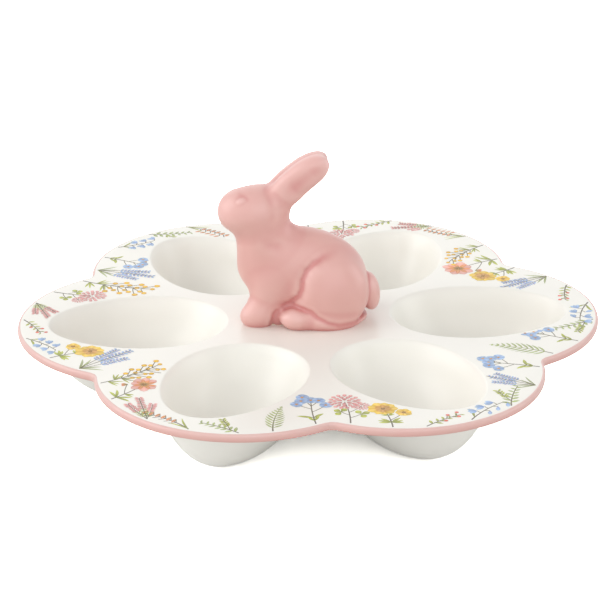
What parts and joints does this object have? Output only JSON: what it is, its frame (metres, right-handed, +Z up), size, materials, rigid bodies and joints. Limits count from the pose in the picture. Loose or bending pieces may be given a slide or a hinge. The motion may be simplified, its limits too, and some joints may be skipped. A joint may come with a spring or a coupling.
{
  "type": "egg tray",
  "caption": "Scalloped glazed ceramic serving tray with egg-shaped wells round a hollow rabbit figure, a pink rim and a flower border, standing on the wells' flat feet.",
  "frame": {"origin": "on the table under the centre of the tray, level with the feet of the wells", "axes": "+Z up, +X from the centre through the middle of egg_well_1, and the rabbit faces -X"},
  "size_m": [0.2634, 0.2452, 0.1121],
  "materials": {
    "white_glaze": "warm white earthenware under a soft-gloss clear glaze",
    "pink_glaze": "rose pink glaze, soft gloss, paler where it runs thin over edges",
    "bare_slip": "fired slip without glaze"
  },
  "bodies": {
    "root": {"tray_deck": "white_glaze", "egg_well_1": "white_glaze", "egg_well_2": "white_glaze", "egg_well_3": "white_glaze", "egg_well_4": "white_glaze", "egg_well_5": "white_glaze", "egg_well_6": "white_glaze", "rim_band": "pink_glaze", "rabbit": "pink_glaze", "slip_bed": "bare_slip"}
  },
  "joints": []
}
